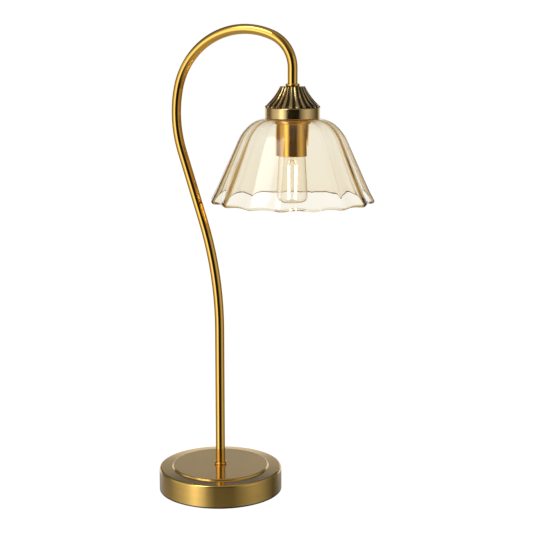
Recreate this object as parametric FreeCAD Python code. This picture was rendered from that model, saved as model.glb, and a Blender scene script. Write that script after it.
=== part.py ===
import FreeCAD, Part
import math
import os

# Tulip shade table lamp. Millimetres and degrees, +Z up, origin at the centre of the base's underside.
# The neck is bent in the XZ plane and carries the shade over +X.

Vector = FreeCAD.Vector
up = Vector(0, 0, 1)
middle = Vector(0, 0, 0)

# Base cover: a spun sheet with a raised disc
base_diameter = 130.0
base_side_height = 25.3
base_sheet = 1.2
base_shoulder = 2.2
step_rounding = 0.5
disc_diameter = 100.4
disc_rise = 2.0
disc_edge = 0.9
pad_thickness = 2.0
pad_reveal = 1.2
pad_setback = 1.2
pad_edge = 0.3

# Cast weight inside the cover
weight_thickness = 12.0
weight_gap = 0.8
weight_edge = 1.5
boss_diameter = 36.0
boss_foot_diameter = 38.0
recess_diameter = 28.0
recess_height = 11.0
channel_width = 20.0
channel_height = 5.0
channel_start = 6.0
cut_overlap = 1.0

# Cord inlet at the back of the base
inlet_height = 10.0
inlet_bore = 7.2
bush_body = 10.6
bush_flange = 14.0
bush_flange_thickness = 1.6
bush_inner_flange = 12.8
bush_rounding = 0.8
cord_channel_width = 15.5

# Terminal block and its wires
block_length = 26.0
block_width = 16.0
block_height = 9.6
block_setback = 29.0
block_rounding = 0.8
block_wall = 0.5
pole_pitch = 8.0
clamp_screw = 3.0
clamp_inset = 4.0
screw_slot_width = 0.5
screw_slot_length = 2.0
wire_height = 5.0
wire_diameter = 1.9
wire_hole_gap = 0.1
wire_spacing = 3.6
wire_sway = 6.0
wire_turn = 3.2
earth_turn = 2.5
earth_distance = 11.2

# Stem fittings
collar_diameter = 13.2
collar_height = 2.5
collar_rounding = 1.0
tube_diameter = 10.0
tube_wall = 1.0
tube_foot = 7.2
nut_flats = 14.0
nut_height = 3.2
washer_diameter = 18.0
washer_thickness = 1.0
tag_thickness = 0.8
tag_width = 5.0
tag_reach = 13.2
thread_gap = 0.05
stem_gap = 0.1

# Swan neck: a straight stem, a backward lean, then three arcs that bow over and point down again
stem_straight = 173.7
lean_radius = 375.6
lean_angle = 17.8
lean_run = 73.8
bow_radii = [126.0, 74.6, 35.1]
bow_angles = [29.8, 101.3]
neck_drop = 14.9

# Head: collar, fluted cap and gallery
neck_collar_diameter = 14.4
neck_collar_height = 2.7
neck_collar_rounding = 1.1
cap_height = 20.6
cap_top_diameter = 23.0
cap_top_rounding = 1.0
cap_lower_diameter = 55.4
cap_top_slope = 27.0
cap_lower_slope = 50.0
cap_wall = 1.1
cap_lip_height = 0.9
cap_lip_reach = 0.1
flute_count = 24
flute_top_depth = 0.5
flute_lower_depth = 1.7
flute_arch = 1.3
flute_fullness = 0.6
gallery_diameter = 55.2
gallery_height = 10.7
gallery_sheet = 1.2
gallery_rounding = 1.2
gallery_lip = 0.3

# Lampholder
cup_diameter = 32.8
cup_height = 47.9
cup_sheet = 1.0
cup_top_sheet = 1.2
cup_flange_diameter = 44.0
cup_flange_thickness = 1.2
cup_flange_drop = 7.8
cup_lip = 0.4
cup_rounding = 1.0
cup_flange_edge = 0.3
body_diameter = 27.8
body_entry_diameter = 18.0
body_entry_height = 4.2
body_drop = 3.4
body_height = 29.6
body_floor = 3.0
body_entry_depth = 5.6
body_entry_edge = 0.5
body_shoulder = 1.5
body_foot_edge = 0.8
shell_bore = 14.1
shell_sheet = 0.4
shell_seat_gap = 0.1
shell_height = 18.0
shell_inset = 0.8
contact_width = 4.0
contact_sheet = 0.5
contact_reach = 6.0
contact_dip = 1.6
contact_rest = 0.3

# Shade: crown, two shoulder arcs, a cone and a beaded rim, pleated all round
shade_height = 82.8
shade_hole_gap = 0.5
crown_diameter = 50.0
shoulder_radii = [29.2, 42.4]
shoulder_angles = [41.1, 24.4]
crown_thickness = 2.0
rib_thickness = 3.6
pleat_count = 16
shade_row_count = 10
pleat_turn = -11.0
pleat_depth = 2.6
pleat_inner_share = 0.8
pleat_fullness = 0.75
pleat_growth = 0.8
rim_wave = 1.2
rim_wave_reach = 14.0
rim_flare = 0.9
rim_bead = 4.2
top_gasket_thickness = 0.8
lower_gasket_thickness = 0.4
gasket_width = 5.2
ring_diameter = 36.6
ring_height = 2.8
ring_thread_gap = 0.3
ring_edge = 0.5
lower_gasket_gap = 0.3

# Lamp with a 14 mm screw cap
lamp_cap_diameter = 13.6
lamp_cap_length = 16.8
lamp_cap_sheet = 0.4
lamp_tip_diameter = 4.2
lamp_tip_height = 1.0
lamp_pin_diameter = 1.8
lamp_pin_gap = 0.2
lamp_insulator_height = 1.8
lamp_insulator_top = 6.0
lamp_length = 81.4
lamp_cap_shoulder = 0.9
lamp_neck_gap = 0.1
lamp_neck_depth = 8.0
lamp_neck_drop = 0.6
lamp_foot_taper = 0.6
lamp_roundings = [2.5, 9.0, 20.0]
lamp_mouth_diameter = 27.4
lamp_mouth_length = 33.0
lamp_belly_diameter = 31.6
lamp_belly_length = 68.5
lamp_wall = 0.8
lamp_bottom_rounding = 8.5
stick_diameter = 1.8
stick_length = 35.0
stick_spacing = 7.0
stick_foot = 4.4
stick_splay = 0.94
stick_turn = 20.5
lead_diameter = 0.5
lead_span = 5.0
lead_drop = 1.2
lead_spacing = 2.0
mount_diameter = 4.4
mount_flare = 11.0
mount_flare_length = 5.0
mount_foot_rounding = 1.0
mount_neck_rounding = 1.5

# Points along one pleat or flute
pleat_steps = 6

# Places that follow from the sizes above
cover_foot = pad_reveal
disc_height = base_side_height + disc_rise
disc_underside = disc_height - base_sheet
weight_top = pad_thickness + weight_thickness
recess_top = pad_thickness + recess_height
tube_radius = tube_diameter / 2
bore_radius = tube_radius - tube_wall
bow_rest = 180.0 + lean_angle - sum(bow_angles)
wire_radius = wire_diameter / 2
block_distance = base_diameter / 2 - block_setback
block_foot = pad_thickness + block_wall
block_top = block_foot + block_height
pole_places = [-pole_pitch, 0.0, pole_pitch]
clamp_places = [block_distance + side * (block_width / 2 - clamp_inset) for side in (-1, 1)]
wire_hole = wire_radius + wire_hole_gap


def bearing(angle):
    # Unit vector for a line that leans back, away from the shade, by this angle from straight up
    turn = math.radians(angle)
    return Vector(-math.sin(turn), 0, math.cos(turn))


def bend(start, heading, radius, angle):
    # An arc in the XZ plane that begins along the heading and leans further back when the angle is positive
    side = 1 if angle > 0 else -1
    centre = start + bearing(heading + side * 90) * radius
    points = [centre + bearing(heading + angle * share - side * 90) * radius for share in (0, 0.5, 1)]
    return Part.Arc(*points).toShape(), points[2]


def straight(start, end):
    return Part.LineSegment(start, end).toShape()


def neck_line(aside, foot, head):
    # The neck's line, shifted aside within its plane, from the foot's height to the head's height
    steps = [(lean_radius, lean_angle), (None, lean_run)]
    steps += [(radius, -angle) for radius, angle in zip(bow_radii, bow_angles + [bow_rest])]
    here = Vector(aside, 0, stem_straight)
    edges = [straight(Vector(aside, 0, foot), here)]
    heading = 0
    for radius, amount in steps:
        if radius is None:
            there = here + bearing(heading) * amount
            edges.append(straight(here, there))
        else:
            side = 1 if amount > 0 else -1
            edge, there = bend(here, heading, radius + side * aside, amount)
            edges.append(edge)
            heading += amount
        here = there
    edges.append(straight(here, Vector(here.x, 0, head)))
    return edges, here


neck_edges, bow_end = neck_line(0, tube_foot, 0)
head_x = bow_end.x
head_top = bow_end.z - neck_drop
cap_top = head_top - neck_collar_height
gallery_top = cap_top - cap_height
gallery_foot = gallery_top - gallery_height
cup_top = gallery_top - gallery_sheet
cup_foot = cup_top - cup_height
flange_top = cup_top - cup_flange_drop
flange_foot = flange_top - cup_flange_thickness
crown_top = flange_foot - top_gasket_thickness
crown_foot = crown_top - crown_thickness
ring_top = crown_foot - lower_gasket_thickness
ring_foot = ring_top - ring_height
shade_foot = crown_top - shade_height
cup_inside = cup_top - cup_top_sheet
body_top = cup_inside - body_drop
floor_top = body_top - body_entry_depth
floor_foot = floor_top - body_floor
body_foot = body_top - body_height
tube_head = floor_top + 2 * stem_gap
shell_foot = body_foot + shell_inset
shell_top = shell_foot + shell_height
lamp_tip = floor_foot - contact_sheet - contact_dip - contact_rest
lamp_foot = lamp_tip - lamp_length
lamp_cap_top = lamp_tip - lamp_tip_height - lamp_insulator_height
lamp_cap_foot = lamp_cap_top - lamp_cap_length
lamp_neck = lamp_cap_diameter / 2 - lamp_cap_sheet - lamp_neck_gap
stick_foot_height = lamp_foot + stick_foot
stick_top_height = stick_foot_height + stick_length
lamp_stem_foot = stick_top_height + lead_span


def rounded_outline(corners):
    # A closed outline in the XZ plane from (radius, height, rounding) corners
    points = [Vector(radius, 0, height) for radius, height, rounding in corners]
    ends = []
    for index, (radius, height, rounding) in enumerate(corners):
        here = points[index]
        back = (points[index - 1] - here).normalize()
        onward = (points[(index + 1) % len(points)] - here).normalize()
        if rounding:
            half = back.getAngle(onward) / 2
            reach = rounding / math.tan(half)
            inward = (back + onward).normalize()
            top = here + inward * (rounding / math.sin(half) - rounding)
            ends.append((here + back * reach, top, here + onward * reach))
        else:
            ends.append((here, None, here))
    edges = []
    for index, (start, top, end) in enumerate(ends):
        if top is not None:
            edges.append(Part.Arc(start, top, end).toShape())
        following = ends[(index + 1) % len(ends)][0]
        if end.distanceToPoint(following) > 1e-6:
            edges.append(straight(end, following))
    return Part.Wire(edges)


def turned(corners, x=0.0):
    solid = Part.Face(rounded_outline(corners)).revolve(middle, up, 360)
    solid.translate(Vector(x, 0, 0))
    return solid


def tube_ring(inner, outer, foot, top, x=0.0, edge=0.0):
    corners = [(inner, foot, 0), (outer, foot, edge), (outer, top, edge), (inner, top, 0)]
    return turned(corners, x)


def rod(radius, start, end):
    return Part.makeCylinder(radius, (end - start).Length, start, end - start)


def block(x_low, x_high, y_low, y_high, z_low, z_high):
    return Part.makeBox(x_high - x_low, y_high - y_low, z_high - z_low, Vector(x_low, y_low, z_low))


def swept(edges, outer, inner=0.0):
    # A round bar or tube along straight and circular edges that follow on from each other
    pieces = []
    for edge in edges:
        start = edge.valueAt(edge.FirstParameter)
        along = edge.tangentAt(edge.FirstParameter)
        section = Part.Face(Part.Wire(Part.makeCircle(outer, start, along)))
        if inner:
            section = section.cut(Part.Face(Part.Wire(Part.makeCircle(inner, start, along)))).Faces[0]
        if isinstance(edge.Curve, Part.Line):
            pieces.append(section.extrude(along * edge.Length))
        else:
            angle = math.degrees(edge.Length / edge.Curve.Radius)
            pieces.append(section.revolve(edge.Curve.Center, edge.Curve.Axis, angle))
    whole = pieces[0].multiFuse(pieces[1:]).removeSplitter() if len(pieces) > 1 else pieces[0]
    length = sum(edge.Length for edge in edges)
    expected = math.pi * (outer ** 2 - inner ** 2) * length
    print("  swept length %.1f, volume / expected %.5f" % (length, whole.Volume / expected))
    return whole.Solids[0]


def hexagon(flats, height, bore, foot, x=0.0):
    corner = flats / math.sqrt(3)
    points = [Vector(x + corner * math.cos(turn), corner * math.sin(turn), foot)
              for turn in (math.radians(60 * side) for side in range(7))]
    nut = Part.Face(Part.makePolygon(points)).extrude(up * height)
    return nut.cut(Part.makeCylinder(bore, height, Vector(x, 0, foot)))


def through(points, places, start=None, end=None):
    # A smooth curve that passes each point at its own place from 0 to 1
    curve = Part.BSplineCurve()
    if start is None:
        curve.interpolate(Points=points, Parameters=places)
    else:
        curve.interpolate(Points=points, Parameters=places, InitialTangent=start, FinalTangent=end, Scale=False)
    return curve


def pleat_curve(row, count, turn, x, fullness):
    # One pleat of a ring, from valley to valley: radius and height at the rib, then how far the valley
    # is drawn in and lifted. A fullness under 1 widens the valley and sharpens the rib
    radius, height, depth, lift = row
    places = [step / pleat_steps for step in range(pleat_steps + 1)]
    points = []
    for place in places:
        angle = math.radians(turn) + (2 * place - 1) * math.pi / count
        valley = max(0.0, (1 + math.cos(2 * math.pi * place)) / 2) ** fullness
        reach = radius - depth * valley
        points.append(Vector(x + reach * math.cos(angle), reach * math.sin(angle), height + lift * valley))
    speed = (radius - depth) * 2 * math.pi / count
    ends = [math.radians(turn) + side * math.pi / count for side in (-1, 1)]
    tangents = [Vector(-math.sin(angle), math.cos(angle), 0) * speed for angle in ends]
    return through(points, places, *tangents)


def pleat_face(rows, count, turn, x, fullness):
    # One pleat of a wall, smooth through its rows. Rows are placed by their distance along the wall
    curves = [pleat_curve(row, count, turn, x, fullness) for row in rows]
    places = [0.0]
    for one, other in zip(rows, rows[1:]):
        places.append(places[-1] + math.hypot(other[0] - one[0], other[1] - one[1]))
    places = [place / places[-1] for place in places]
    poles = zip(*[curve.getPoles() for curve in curves])
    if len(rows) == 2:
        grid = [list(line) for line in poles]
        knots, repeats, degree = [0.0, 1.0], [2, 2], 1
    else:
        lines = [through(list(line), places) for line in poles]
        grid = [line.getPoles() for line in lines]
        knots, repeats, degree = lines[0].getKnots(), lines[0].getMultiplicities(), lines[0].Degree
    across = curves[0]
    surface = Part.BSplineSurface()
    surface.buildFromPolesMultsKnots(grid, across.getMultiplicities(), repeats, across.getKnots(), knots,
                                     False, False, across.Degree, degree)
    return surface.toShape()


def pleated_solid(stretches, count, turn, x, fullness):
    # A closed wall of repeated pleats. Each stretch is a list of rows and begins where the last one ended
    faces = [pleat_face(rows, count, turn, x, fullness) for rows in stretches]
    every = []
    for copy in range(count):
        for face in faces:
            pleat = face.copy()
            pleat.rotate(Vector(x, 0, 0), up, copy * 360.0 / count)
            every.append(pleat)
    skin = Part.makeCompound(every)
    skin.sewShape()
    solid = Part.Solid(Part.Shell(skin.Faces))
    if solid.Volume < 0:
        solid.reverse()
    return solid


# Base

def make_base_cover():
    radius = base_diameter / 2
    disc = disc_diameter / 2
    hole = tube_radius + stem_gap
    inner = radius - base_sheet
    under = base_side_height - base_sheet
    step = disc_rise / 2
    corners = [
        (radius, cover_foot, 0),
        (radius, base_side_height, base_shoulder),
        (disc + step, base_side_height, step_rounding),
        (disc, disc_height, disc_edge),
        (hole, disc_height, 0),
        (hole, disc_underside, 0),
        (disc - base_sheet / 2, disc_underside, step_rounding / 2),
        (disc + step - base_sheet / 2, under, step_rounding),
        (inner, under, base_shoulder - base_sheet),
        (inner, cover_foot, 0),
    ]
    hole_start = Vector(0, inner - base_sheet, inlet_height)
    hole_end = Vector(0, radius + base_sheet, inlet_height)
    return turned(corners).cut(rod(bush_body / 2 + stem_gap, hole_start, hole_end))


def make_base_weight():
    radius = base_diameter / 2 - base_sheet - weight_gap
    recess = recess_diameter / 2
    hole = tube_radius + stem_gap
    corners = [
        (radius, pad_thickness, 0),
        (radius, weight_top, weight_edge),
        (boss_foot_diameter / 2, weight_top, weight_edge),
        (boss_diameter / 2, disc_underside, weight_edge / 2),
        (hole, disc_underside, 0),
        (hole, recess_top, 0),
        (recess, recess_top, 0),
        (recess, pad_thickness, 0),
    ]
    weight = turned(corners)
    half = channel_width / 2
    pocket_half = block_length / 2 + block_wall
    near = block_distance - block_width / 2 - block_wall
    far = block_distance + block_width / 2 + block_wall
    floor = pad_thickness
    channel = block(-half, half, channel_start, near + cut_overlap, floor, floor + channel_height)
    pocket = block(-pocket_half, pocket_half, near, far, floor, block_top)
    inlet_half = cord_channel_width / 2
    inlet = block(-inlet_half, inlet_half, far - cut_overlap, radius + cut_overlap, floor, weight_top + cut_overlap)
    return weight.cut(channel).cut(pocket).cut(inlet)


def make_base_pad():
    return tube_ring(0, base_diameter / 2 - base_sheet - pad_setback, 0, pad_thickness, edge=pad_edge)


def make_cord_bush():
    wall = base_diameter / 2
    bore = inlet_bore / 2
    inner_flange = bush_inner_flange / 2
    inside = wall - base_sheet - bush_flange_thickness
    outside = wall + bush_flange_thickness
    profile = [
        (bore, inside, 0),
        (inner_flange, inside, bush_rounding / 2),
        (inner_flange, wall - base_sheet, 0),
        (bush_body / 2, wall - base_sheet, 0),
        (bush_body / 2, wall - base_sheet / 2, 0),
        (bush_flange / 2, wall - base_sheet / 2, 0),
        (bush_flange / 2, outside, bush_rounding),
        (bore, outside, bush_rounding / 2),
    ]
    bush = turned(profile)
    bush.rotate(middle, Vector(1, 0, 0), -90)
    bush.translate(Vector(0, 0, inlet_height))
    cover_wall = tube_ring(wall - base_sheet, wall, 0, base_side_height)
    passage = rod(bush_body / 2, Vector(0, inside, inlet_height), Vector(0, outside, inlet_height))
    return bush.cut(cover_wall.cut(passage))


def make_stem_collar():
    foot = disc_height
    return tube_ring(tube_radius + thread_gap, collar_diameter / 2, foot, foot + collar_height, edge=collar_rounding)


def make_stem_nut():
    foot = recess_top - tag_thickness - washer_thickness - nut_height
    return hexagon(nut_flats, nut_height, tube_radius + thread_gap, foot)


def make_stem_washer():
    top = recess_top - tag_thickness
    return tube_ring(tube_radius + stem_gap, washer_diameter / 2, top - washer_thickness, top)


def make_earth_tag():
    foot = recess_top - tag_thickness
    half = tag_width / 2
    ring = Part.makeCylinder(washer_diameter / 2, tag_thickness, Vector(0, 0, foot))
    tail = block(-half, half, 0, tag_reach - half, foot, recess_top)
    end = Part.makeCylinder(half, tag_thickness, Vector(0, tag_reach - half, foot))
    hole = Part.makeCylinder(tube_radius + stem_gap, tag_thickness, Vector(0, 0, foot))
    return ring.fuse([tail, end]).cut(hole).removeSplitter()


def make_terminal_block():
    near = block_distance - block_width / 2
    far = block_distance + block_width / 2
    half = block_length / 2
    body = block(-half, half, near, far, block_foot, block_top)
    body = body.makeFillet(block_rounding, [edge for edge in body.Edges if abs(edge.tangentAt(0).z) > 0.9])
    for x in pole_places:
        body = body.cut(rod(wire_hole, Vector(x, near, wire_height), Vector(x, far, wire_height)))
        for y in clamp_places:
            screw_bore = clamp_screw / 2 + thread_gap
            body = body.cut(rod(screw_bore, Vector(x, y, block_foot), Vector(x, y, wire_height)))
    return body


def make_terminal_screws():
    top = wire_height - wire_hole
    long = screw_slot_length / 2
    wide = screw_slot_width / 2
    screws = []
    for x in pole_places:
        for y in clamp_places:
            screw = rod(clamp_screw / 2, Vector(x, y, block_foot), Vector(x, y, top))
            slot = block(x - long, x + long, y - wide, y + wide, block_foot, block_foot + screw_slot_width)
            screws.append(screw.cut(slot))
    return Part.makeCompound(screws)


def make_inner_wire(side):
    # From its pole in the block, in to the tube's foot, up the tube, and down to the lampholder's floor
    pole = side * pole_pitch
    aside = side * wire_spacing / 2
    shift = pole_pitch - wire_spacing / 2
    turn = math.acos(1 - shift / (2 * wire_sway))
    run = 2 * wire_sway * math.sin(turn)
    height = wire_height
    inner_end = Vector(aside, wire_turn, height)
    outer_end = Vector(pole, wire_turn + run, height)
    halfway = (inner_end + outer_end) * 0.5
    outer_centre = outer_end - Vector(side * wire_sway, 0, 0)
    inner_centre = inner_end + Vector(side * wire_sway, 0, 0)
    half_turn = turn / 2
    outer_top = outer_centre + Vector(side * math.cos(half_turn), -math.sin(half_turn), 0) * wire_sway
    inner_top = inner_centre + Vector(-side * math.cos(half_turn), math.sin(half_turn), 0) * wire_sway
    rise_centre = Vector(aside, wire_turn, height + wire_turn)
    lowest = math.radians(225)
    rise_top = rise_centre + Vector(0, math.cos(lowest), math.sin(lowest)) * wire_turn
    rise_end = Vector(aside, 0, height + wire_turn)
    edges = [
        straight(Vector(pole, clamp_places[0] + clamp_screw / 2, height), outer_end),
        Part.Arc(outer_end, outer_top, halfway).toShape(),
        Part.Arc(halfway, inner_top, inner_end).toShape(),
        Part.Arc(inner_end, rise_top, rise_end).toShape(),
    ]
    edges += neck_line(aside, rise_end.z, floor_foot)[0]
    return swept(edges, wire_radius)


def make_earth_wire():
    start = Vector(0, clamp_places[0] + clamp_screw / 2, wire_height)
    level_end = Vector(0, earth_distance + earth_turn, wire_height)
    centre = level_end + up * earth_turn
    lowest = math.radians(225)
    top = centre + Vector(0, math.cos(lowest), math.sin(lowest)) * earth_turn
    rise = Vector(0, earth_distance, wire_height + earth_turn)
    tag = Vector(0, earth_distance, recess_top - tag_thickness)
    edges = [straight(start, level_end), Part.Arc(level_end, top, rise).toShape(), straight(rise, tag)]
    return swept(edges, wire_radius)


def make_swan_neck_tube():
    return swept(neck_line(0, tube_foot, tube_head)[0], tube_radius, bore_radius)


# Head

def make_neck_collar():
    outer = neck_collar_diameter / 2
    return tube_ring(tube_radius + thread_gap, outer, cap_top, head_top, head_x, edge=neck_collar_rounding)


def flare_row(share, setback=0.0):
    # A row of the cap's flare, from its top (0) to its lower edge (1), set back square to the surface
    top_slope = math.radians(cap_top_slope)
    lower_slope = math.radians(cap_lower_slope)
    slope = top_slope + (lower_slope - top_slope) * share
    height = cap_height - cap_top_rounding - cap_lip_height
    radius = height / (math.sin(lower_slope) - math.sin(top_slope))
    width = radius * (math.cos(top_slope) - math.cos(lower_slope))
    reach = cap_lower_diameter / 2 - width + radius * (math.cos(top_slope) - math.cos(slope))
    drop = cap_top_rounding + radius * (math.sin(slope) - math.sin(top_slope))
    return reach - setback * math.cos(slope), cap_top - drop - setback * math.sin(slope)


def make_fluted_cap():
    hole = tube_radius + stem_gap
    shares = [0, 0.25, 0.5, 0.75, 1]
    outside = []
    for share in shares:
        radius, height = flare_row(share)
        depth = flute_top_depth + (flute_lower_depth - flute_top_depth) * share
        outside.append((radius, height, depth, flute_arch * share ** 3))
    inside = []
    for share in shares:
        depth = flute_top_depth + (flute_lower_depth - flute_top_depth) * share
        radius, height = flare_row(share, depth + cap_wall)
        inside.append((radius, max(height, gallery_top), 0, flute_arch * share ** 3))
    inside[-1] = (inside[-1][0], gallery_top, 0, flute_arch)
    lip = (outside[-1][0] + cap_lip_reach, gallery_top, flute_lower_depth, flute_arch)
    shoulder = flare_row(0)[0] - cap_top_rounding
    brow = (shoulder + cap_top_rounding * 0.7, cap_top - cap_top_rounding * 0.3, flute_top_depth, 0)
    crown = (shoulder, cap_top, flute_top_depth, 0)
    under = inside[0][1]
    stretches = [
        [(hole, cap_top, 0, 0), crown],
        [crown, brow, outside[0]],
        outside,
        [outside[-1], lip],
        [lip, inside[-1]],
        inside[::-1],
        [inside[0], (hole, under, 0, 0)],
        [(hole, under, 0, 0), (hole, cap_top, 0, 0)],
    ]
    return pleated_solid(stretches, flute_count, 0, head_x, flute_fullness)


def make_shade_gallery():
    outer = gallery_diameter / 2
    inner = outer - gallery_sheet
    hole = tube_radius + stem_gap
    under = gallery_top - gallery_sheet
    corners = [
        (outer, gallery_foot, gallery_lip),
        (outer, gallery_top, gallery_rounding),
        (hole, gallery_top, 0),
        (hole, under, 0),
        (inner, under, gallery_rounding / 3),
        (inner, gallery_foot, gallery_lip),
    ]
    return turned(corners, head_x)


def make_holder_cup():
    outer = cup_diameter / 2
    inner = outer - cup_sheet
    flange = cup_flange_diameter / 2
    hole = tube_radius + stem_gap
    corners = [
        (outer, cup_foot, cup_lip),
        (outer, flange_foot, 0),
        (flange, flange_foot, cup_flange_edge),
        (flange, flange_top, cup_flange_edge),
        (outer, flange_top, cup_rounding / 2),
        (outer, cup_top, cup_rounding),
        (hole, cup_top, 0),
        (hole, cup_inside, 0),
        (inner, cup_inside, cup_rounding / 2),
        (inner, cup_foot, cup_lip),
    ]
    return turned(corners, head_x)


def make_holder_locknut():
    return hexagon(nut_flats, nut_height, tube_radius + thread_gap, cup_inside - nut_height, head_x)


def make_holder_body():
    outer = body_diameter / 2
    entry = body_entry_diameter / 2
    bore = shell_bore / 2 + shell_sheet + shell_seat_gap
    step = body_top - body_entry_height
    corners = [
        (bore, body_foot, 0),
        (outer, body_foot, body_foot_edge),
        (outer, step, body_shoulder),
        (entry, step, body_entry_edge),
        (entry, body_top, body_entry_edge),
        (tube_radius + thread_gap, body_top, 0),
        (tube_radius + thread_gap, floor_top, 0),
        (0, floor_top, 0),
        (0, floor_foot, 0),
        (bore, floor_foot, 0),
    ]
    body = turned(corners, head_x)
    for side in (-1, 1):
        x = head_x + side * wire_spacing / 2
        body = body.cut(rod(wire_hole, Vector(x, 0, floor_foot), Vector(x, 0, floor_top)))
    return body


def make_holder_shell():
    inner = shell_bore / 2
    outer = inner + shell_sheet
    half = contact_width / 2
    thread = tube_ring(inner, outer, shell_foot, shell_top, head_x)
    strip = tube_ring(inner, outer, shell_top - shell_sheet, floor_foot, head_x)
    strip = strip.common(block(head_x, head_x + outer, -half, half, shell_foot, floor_foot))
    landing = wire_spacing / 2 - wire_radius
    reach = math.sqrt(outer ** 2 - half ** 2)
    tab = block(head_x + landing, head_x + reach, -half, half, floor_foot - contact_sheet, floor_foot)
    return thread.fuse([strip, tab]).removeSplitter()


def make_holder_contact():
    # A flat strip under the live wire that dips to meet the lamp's tip
    top = floor_foot
    turn = -(wire_spacing / 2 - wire_radius)
    tip = lamp_tip_diameter / 2 - contact_sheet
    outline = [
        (-contact_reach, top),
        (turn, top),
        (tip, top - contact_dip),
        (tip, top - contact_dip - contact_sheet),
        (turn, top - contact_sheet),
        (-contact_reach, top - contact_sheet),
    ]
    half = contact_width / 2
    points = [Vector(head_x + x, -half, z) for x, z in outline]
    return Part.Face(Part.makePolygon(points + points[:1])).extrude(Vector(0, contact_width, 0))


# Shade

def shade_point(distance):
    # Down the outside of a rib from the crown's edge: radius, height and slope below level
    radius = crown_diameter / 2
    height = crown_top
    slope = 0.0
    for arc_radius, arc_angle in zip(shoulder_radii, shoulder_angles):
        turn = min(math.radians(arc_angle), distance / arc_radius)
        radius += arc_radius * (math.sin(slope + turn) - math.sin(slope))
        height -= arc_radius * (math.cos(slope) - math.cos(slope + turn))
        slope += turn
        distance -= arc_radius * turn
    return radius + distance * math.cos(slope), height - distance * math.sin(slope), slope


def shade_rows():
    shoulders = sum(radius * math.radians(angle) for radius, angle in zip(shoulder_radii, shoulder_angles))
    height, slope = shade_point(shoulders)[1:]
    length = shoulders + (height - shade_foot - rim_bead / 2) / math.sin(slope)
    outside = []
    inside = []
    for row in range(shade_row_count):
        share = row / (shade_row_count - 1)
        radius, height, slope = shade_point(length * share)
        depth = pleat_depth * share ** pleat_growth
        near_rim = max(0.0, 1 - length * (1 - share) / rim_wave_reach)
        lift = rim_wave * near_rim ** 2
        flare = rim_flare * near_rim ** 2
        outside.append((radius + flare, height, depth, lift))
        wall = crown_thickness + (rib_thickness - crown_thickness) * min(1, share * 1.5)
        across = radius - wall * math.sin(slope)
        down = height - wall * math.cos(slope)
        inside.append((across, down, depth * pleat_inner_share, lift))
    return outside, inside


def make_shade_glass():
    outside, inside = shade_rows()
    hole = cup_diameter / 2 + shade_hole_gap
    outer_edge = outside[-1]
    inner_edge = inside[-1]
    middle_radius = (outer_edge[0] + inner_edge[0]) / 2
    half = (outer_edge[0] - inner_edge[0]) / 2
    middle_depth = (outer_edge[2] + inner_edge[2]) / 2
    lift = outer_edge[3]
    bead_height = outer_edge[1] - rim_bead / 2
    bead = [
        outer_edge,
        (middle_radius + half * 1.05, outer_edge[1] - rim_bead * 0.3, outer_edge[2], lift),
        (middle_radius, bead_height, middle_depth, lift),
        (middle_radius - half * 1.05, outer_edge[1] - rim_bead * 0.3, inner_edge[2], lift),
        inner_edge,
    ]
    stretches = [
        [(hole, crown_top, 0, 0), outside[0]],
        outside,
        bead,
        inside[::-1],
        [inside[0], (hole, crown_foot, 0, 0)],
        [(hole, crown_foot, 0, 0), (hole, crown_top, 0, 0)],
    ]
    return pleated_solid(stretches, pleat_count, pleat_turn, head_x, pleat_fullness)


def make_top_gasket():
    inner = cup_diameter / 2 + shade_hole_gap
    return tube_ring(inner, inner + gasket_width, crown_top, flange_foot, head_x)


def make_lower_gasket():
    inner = cup_diameter / 2 + lower_gasket_gap
    return tube_ring(inner, ring_diameter / 2, ring_top, crown_foot, head_x)


def make_shade_ring():
    inner = cup_diameter / 2 + ring_thread_gap
    return tube_ring(inner, ring_diameter / 2, ring_foot, ring_top, head_x, edge=ring_edge)


# Lamp

def make_bulb_tip():
    radius = lamp_tip_diameter / 2
    foot = lamp_tip - lamp_tip_height
    pin = lamp_pin_diameter / 2
    corners = [
        (0, foot - lamp_insulator_height, 0),
        (pin, foot - lamp_insulator_height, 0),
        (pin, foot, 0),
        (radius, foot, 0),
        (radius, lamp_tip, lamp_tip_height * 0.8),
        (0, lamp_tip, 0),
    ]
    return turned(corners, head_x)


def make_bulb_insulator():
    top = lamp_tip - lamp_tip_height
    pin = lamp_pin_diameter / 2 + lamp_pin_gap
    outer = lamp_cap_diameter / 2 - lamp_cap_sheet
    corners = [
        (pin, lamp_cap_top, 0),
        (outer, lamp_cap_top, 0),
        (lamp_insulator_top / 2, top, 0.6),
        (pin, top, 0),
    ]
    return turned(corners, head_x)


def make_bulb_cap():
    outer = lamp_cap_diameter / 2
    inner = outer - lamp_cap_sheet
    corners = [
        (inner, lamp_cap_foot, 0),
        (outer, lamp_cap_foot, 0),
        (outer, lamp_cap_top, lamp_cap_shoulder),
        (lamp_insulator_top / 2, lamp_cap_top, 0),
        (lamp_insulator_top / 2, lamp_cap_top - lamp_cap_sheet, 0),
        (inner, lamp_cap_top - lamp_cap_sheet, 0.5),
    ]
    return turned(corners, head_x)


def lamp_corners(wall):
    # The envelope's outline, drawn in by a wall thickness
    mouth = lamp_tip - lamp_mouth_length
    belly = lamp_tip - lamp_belly_length
    foot_radius = lamp_belly_diameter / 2 - wall - lamp_foot_taper
    return [
        (lamp_neck - wall, lamp_cap_foot + lamp_neck_depth, 0),
        (lamp_neck - wall, lamp_cap_foot - lamp_neck_drop, lamp_roundings[0]),
        (lamp_mouth_diameter / 2 - wall, mouth, lamp_roundings[1]),
        (lamp_belly_diameter / 2 - wall, belly, lamp_roundings[2]),
        (foot_radius, lamp_foot + wall, lamp_bottom_rounding - wall),
        (0, lamp_foot + wall, 0),
    ]


def make_bulb_envelope():
    outside = lamp_corners(0.0)
    inside = lamp_corners(lamp_wall)
    return turned(outside + inside[::-1], head_x)


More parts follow.
